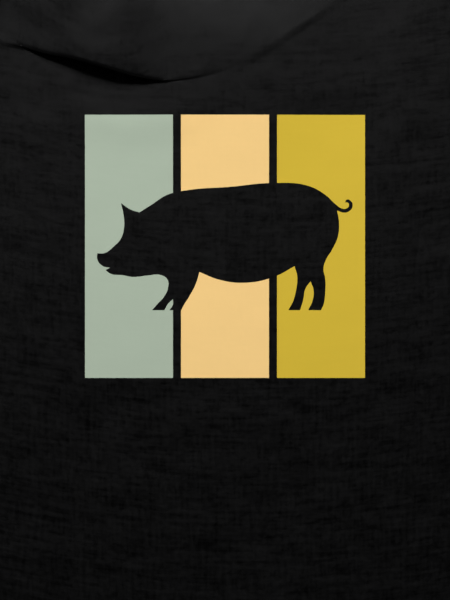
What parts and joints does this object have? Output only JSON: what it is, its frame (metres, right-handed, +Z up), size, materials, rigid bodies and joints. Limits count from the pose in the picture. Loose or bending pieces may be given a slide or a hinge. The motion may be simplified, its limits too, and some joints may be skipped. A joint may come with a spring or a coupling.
{
  "type": "printed t-shirt",
  "caption": "Black short-sleeved crew-neck T-shirt laid flat, a soft fold across the chest, with upright colour blocks printed on the front and a pig silhouette left bare across them.",
  "frame": {"origin": "centre of the bounding box in plan, on the surface that the shirt lies on", "axes": "+X towards the wearer's left sleeve (the right of the picture), +Y towards the neck, +Z up out of the printed side"},
  "size_m": [0.8658, 0.756, 0.0193],
  "materials": {
    "jersey": "matt cotton single jersey, black",
    "rib": "matt cotton rib knit, black",
    "tape": "matt twill tape, black",
    "sage_ink": "flat print ink, sage",
    "peach_ink": "flat print ink, peach",
    "mustard_ink": "flat print ink, mustard"
  },
  "bodies": {
    "root": {"back_panel": "jersey", "front_panel": "jersey", "hem_back": "jersey", "hem_front": "jersey", "sleeve_left": "jersey", "sleeve_right": "jersey", "sleeve_hem_left": "jersey", "sleeve_hem_right": "jersey", "neckband_front": "rib", "neckband_back": "rib", "neck_tape": "tape", "print_sage": "sage_ink", "print_peach_upper": "peach_ink", "print_peach_lower": "peach_ink", "print_mustard": "mustard_ink"}
  },
  "joints": []
}
